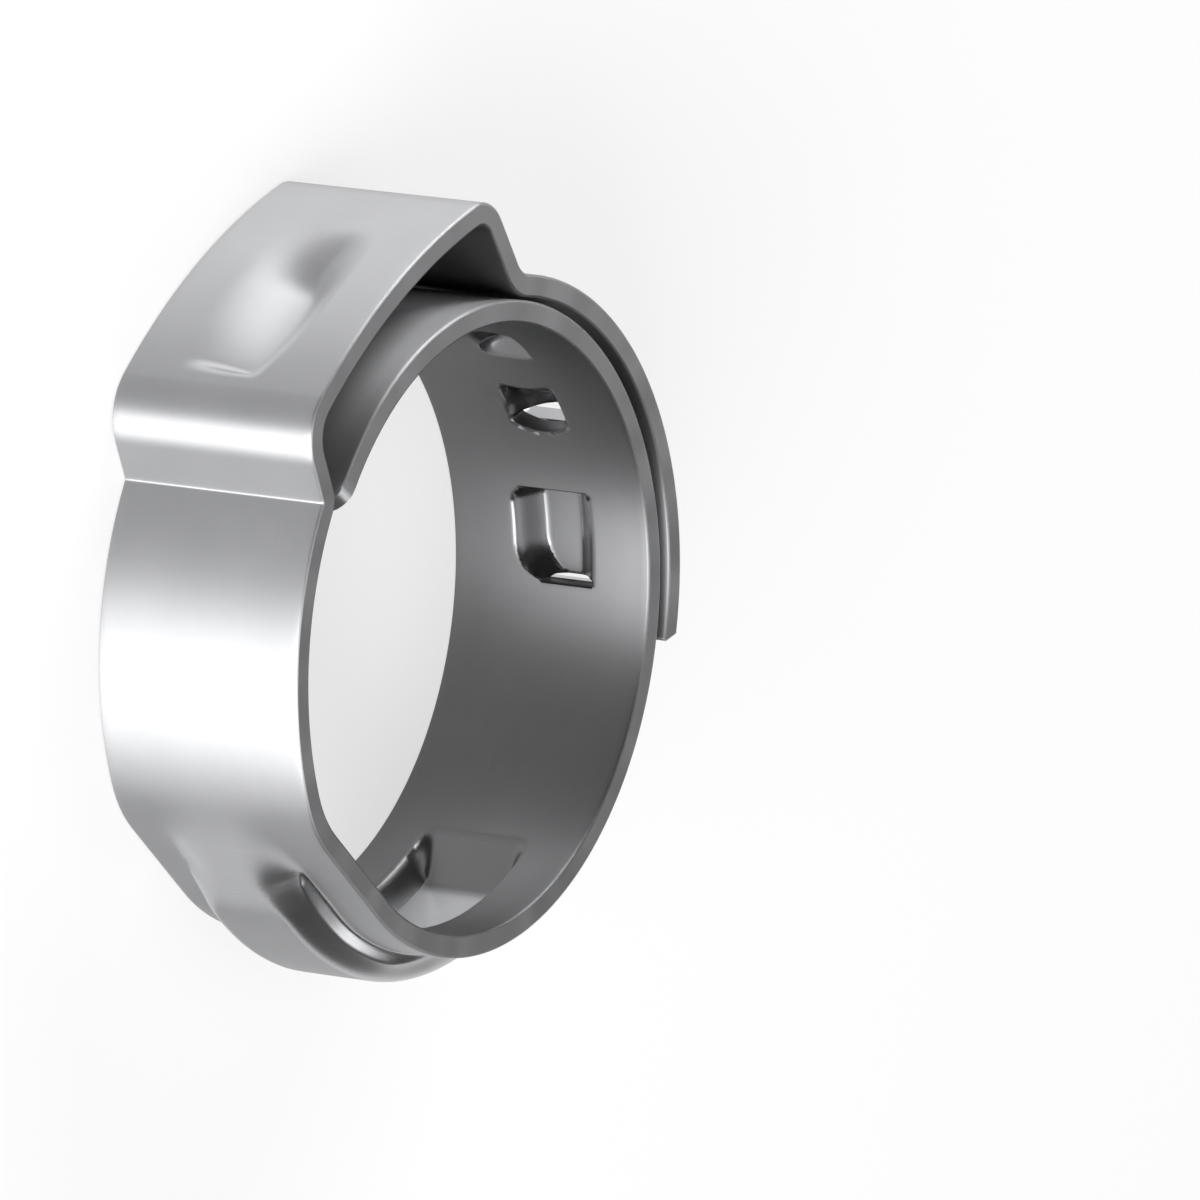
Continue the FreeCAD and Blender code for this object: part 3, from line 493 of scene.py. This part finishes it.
def steel(name, tone, gloss, along_grain, highlight_tone=None):
    """Bright rolled stainless steel: cloudy in tone, with a faint grain along the strip."""
    material = bpy.data.materials.new(name)
    material.use_nodes = True
    nodes, links = material.node_tree.nodes, material.node_tree.links
    shader = nodes["Principled BSDF"]
    shader.inputs["Metallic"].default_value = 1.0
    flat = nodes.new("ShaderNodeUVMap")
    flat.uv_map = "unrolled"
    stretch = nodes.new("ShaderNodeMapping")
    stretch.inputs["Scale"].default_value = (60, 2600, 1)
    grain = nodes.new("ShaderNodeTexNoise")
    grain.inputs["Scale"].default_value = 1.0
    grain.inputs["Detail"].default_value = 2.0
    cloud = nodes.new("ShaderNodeTexNoise")
    cloud.inputs["Scale"].default_value = 40.0
    cloud.inputs["Detail"].default_value = 3.0
    links.new(flat.outputs["UV"], stretch.inputs["Vector"])
    links.new(stretch.outputs["Vector"], grain.inputs["Vector"])
    links.new(flat.outputs["UV"], cloud.inputs["Vector"])

    def clouded(dark, light):
        tint = nodes.new("ShaderNodeMix")
        tint.data_type = "RGBA"
        tint.inputs["A"].default_value = (dark, dark * 1.006, dark * 1.03, 1)
        tint.inputs["B"].default_value = (light, light * 1.006, light * 1.025, 1)
        links.new(cloud.outputs["Fac"], tint.inputs["Factor"])
        return tint.outputs["Result"]

    colour = clouded(*tone)
    # A lighter colour where the attribute is set is a painted highlight on the channel's floor.
    if highlight_tone:
        painted_highlight = nodes.new("ShaderNodeAttribute")
        painted_highlight.attribute_name = "painted_highlight"
        both = nodes.new("ShaderNodeMix")
        both.data_type = "RGBA"
        links.new(painted_highlight.outputs["Fac"], both.inputs["Factor"])
        links.new(colour, both.inputs["A"])
        links.new(clouded(*highlight_tone), both.inputs["B"])
        colour = both.outputs["Result"]
    links.new(colour, shader.inputs["Base Color"])

    sheen = nodes.new("ShaderNodeMapRange")
    sheen.inputs["From Min"].default_value = 0.3
    sheen.inputs["From Max"].default_value = 0.7
    sheen.inputs["To Min"].default_value = gloss[0]
    sheen.inputs["To Max"].default_value = gloss[1]
    links.new(grain.outputs["Fac"], sheen.inputs["Value"])
    # The punch leaves the walls of a pressed form smoother than the rolled strip.
    burnished = nodes.new("ShaderNodeAttribute")
    burnished.attribute_name = "burnished"
    roughness = nodes.new("ShaderNodeMix")
    roughness.inputs["B"].default_value = 0.26
    links.new(burnished.outputs["Fac"], roughness.inputs["Factor"])
    links.new(sheen.outputs["Result"], roughness.inputs["A"])
    links.new(roughness.outputs["Result"], shader.inputs["Roughness"])
    if along_grain:
        shader.inputs["Anisotropic"].default_value = along_grain
        shader.inputs["Anisotropic Rotation"].default_value = 0.25
        tangent = nodes.new("ShaderNodeTangent")
        tangent.direction_type = "UV_MAP"
        tangent.uv_map = "unrolled"
        links.new(tangent.outputs["Tangent"], shader.inputs["Tangent"])

    relief = nodes.new("ShaderNodeBump")
    relief.inputs["Strength"].default_value = 0.03
    relief.inputs["Distance"].default_value = 0.00002
    links.new(grain.outputs["Fac"], relief.inputs["Height"])
    links.new(relief.outputs["Normal"], shader.inputs["Normal"])
    return material


def make_clamp():
    clamp = bpy.data.objects.new("ear_clamp", strip_mesh())
    bpy.context.scene.collection.objects.link(clamp)
    for material in (
        steel("stainless_strip", (0.43, 0.49), (0.48, 0.53), 0.8),
        # The bore side's darker tone is painted shade; the same steel is lighter on the back.
        steel("painted_shade_bore_side", (0.19, 0.225), (0.46, 0.51), 0.8, (0.54, 0.61)),
        steel("sheared_edge", (0.48, 0.58), (0.30, 0.38), 0.0),
    ):
        clamp.data.materials.append(material)
    weighted = clamp.modifiers.new("even_shading", "WEIGHTED_NORMAL")
    weighted.keep_sharp = True
    weighted.weight = 60
    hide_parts("clamp_band")
    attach(clamp, "root")


def make_floor():
    """A wide pale floor under the clamp, which fills the view and keeps the clamp's shadow."""
    bpy.ops.mesh.primitive_plane_add(size=6, location=(0, 0, -0.00002))
    floor = bpy.context.object
    floor.name = "floor"
    material = bpy.data.materials.new("pale_floor")
    material.use_nodes = True
    nodes, links = material.node_tree.nodes, material.node_tree.links
    shader = nodes["Principled BSDF"]
    shader.inputs["Base Color"].default_value = (0.86, 0.86, 0.86, 1)
    shader.inputs["Roughness"].default_value = 0.9
    shader.inputs["Specular IOR Level"].default_value = 0.0
    glow = nodes.new("ShaderNodeEmission")
    glow.inputs["Color"].default_value = (1, 1, 1, 1)

    def either(first, second):
        node = nodes.new("ShaderNodeMath")
        node.operation = "ADD"
        node.use_clamp = True
        links.new(first, node.inputs[0])
        links.new(second, node.inputs[1])
        return node.outputs[0]

    # What the camera, a reflection or glass sees of the floor is a good half white of its own.
    path = nodes.new("ShaderNodeLightPath").outputs
    seen = either(either(path["Is Camera Ray"], path["Is Glossy Ray"]), path["Is Transmission Ray"])
    share = nodes.new("ShaderNodeMath")
    share.operation = "MULTIPLY"
    share.inputs[1].default_value = 0.62
    links.new(seen, share.inputs[0])
    mixed = nodes.new("ShaderNodeMixShader")
    links.new(share.outputs[0], mixed.inputs["Fac"])
    links.new(shader.outputs["BSDF"], mixed.inputs[1])
    links.new(glow.outputs["Emission"], mixed.inputs[2])
    links.new(mixed.outputs["Shader"], nodes["Material Output"].inputs["Surface"])
    floor.data.materials.append(material)


# The photograph's view: the direction and height that it looks from, how far the picture leans, the
# distance in metres, the pixels to a millimetre there, and the place that it aims at. The part's frame
# is turned by VIEW_TURN from one in which the picture's upward direction on the clamp is +Y.
VIEW_DIRECTION, VIEW_HEIGHT, VIEW_ROLL = 143.22, 30.76, 3.5
VIEW_DISTANCE, VIEW_SCALE, VIEW_TURN = 0.45088, 32.398, 29.73
AIM = (12.202, -0.204, 3.5)
PICTURE, SENSOR = 1200, 36


def turned_frame(point):
    """A point given in the unturned frame, as a point of the part's frame."""
    angle = -math.radians(VIEW_TURN)
    return Vector((point[0] * math.cos(angle) - point[1] * math.sin(angle),
                   point[0] * math.sin(angle) + point[1] * math.cos(angle), point[2]))


def pointing(direction, height):
    """The unit vector in a direction round the bore and at a height above the floor, both in degrees."""
    out, up = math.radians(direction), math.radians(height)
    return Vector((math.cos(up) * math.cos(out), math.cos(up) * math.sin(out), math.sin(up)))


def make_camera():
    back = pointing(VIEW_DIRECTION, VIEW_HEIGHT)
    ring_up = turned_frame((0, 1, 0))
    top = (ring_up - back * ring_up.dot(back)).normalized()
    side = top.cross(back)
    turn = Matrix.Rotation(math.radians(VIEW_ROLL), 3, back)
    side, top = turn @ side, turn @ top
    place = turned_frame(AIM) / METRE + back * VIEW_DISTANCE
    camera = bpy.data.objects.new("camera", bpy.data.cameras.new("camera"))
    camera.matrix_world = Matrix((
        (side.x, top.x, back.x, place.x), (side.y, top.y, back.y, place.y),
        (side.z, top.z, back.z, place.z), (0, 0, 0, 1),
    ))
    camera.data.sensor_width = SENSOR
    camera.data.lens = VIEW_SCALE * VIEW_DISTANCE * METRE / PICTURE * SENSOR
    camera.data.clip_start = 0.01
    bpy.context.scene.collection.objects.link(camera)
    bpy.context.scene.camera = camera


def softbox(name, direction, height, distance, size, power):
    """A soft lamp in a direction about the bore, aimed at the middle of the clamp."""
    light = bpy.data.lights.new(name, "AREA")
    light.shape, light.size, light.size_y = "RECTANGLE", size[0], size[1]
    light.energy = power
    lamp = bpy.data.objects.new(name, light)
    lamp.location = pointing(direction, height) * distance
    middle = Vector((0, 0, WIDTH / 2 / METRE))
    lamp.rotation_euler = (lamp.location - middle).to_track_quat("Z", "Y").to_euler()
    bpy.context.scene.collection.objects.link(lamp)


def make_light():
    scene = bpy.context.scene
    scene.view_settings.view_transform = "Standard"
    world = bpy.data.worlds.new("studio")
    world.use_nodes = True
    world.node_tree.nodes["Background"].inputs["Color"].default_value = (1, 1, 1, 1)
    world.node_tree.nodes["Background"].inputs["Strength"].default_value = 0.08
    scene.world = world
    # The key and fill lamps give the bright bands on the left wall and in the bore, the top lamp lights
    # the dimple and the side lamp the step of the ridge. Directions are in the unturned frame.
    for name, direction, height, distance, size, power in (
        ("key", 200, 11, 0.3, (0.24, 0.08), 0.9),
        ("fill", 205, 27, 0.45, (0.3, 0.16), 1.35),
        ("overhead", 300, 80, 0.6, (0.7, 0.7), 1.9),
        ("top", 70, 24, 0.35, (0.28, 0.12), 0.8),
        ("side", 321, 34, 0.35, (0.1, 0.06), 0.055),
        ("far", 15, 25, 0.4, (0.2, 0.1), 0.12),
    ):
        softbox(name, direction - VIEW_TURN, height, distance, size, power)


make_clamp()
make_floor()
make_camera()
make_light()
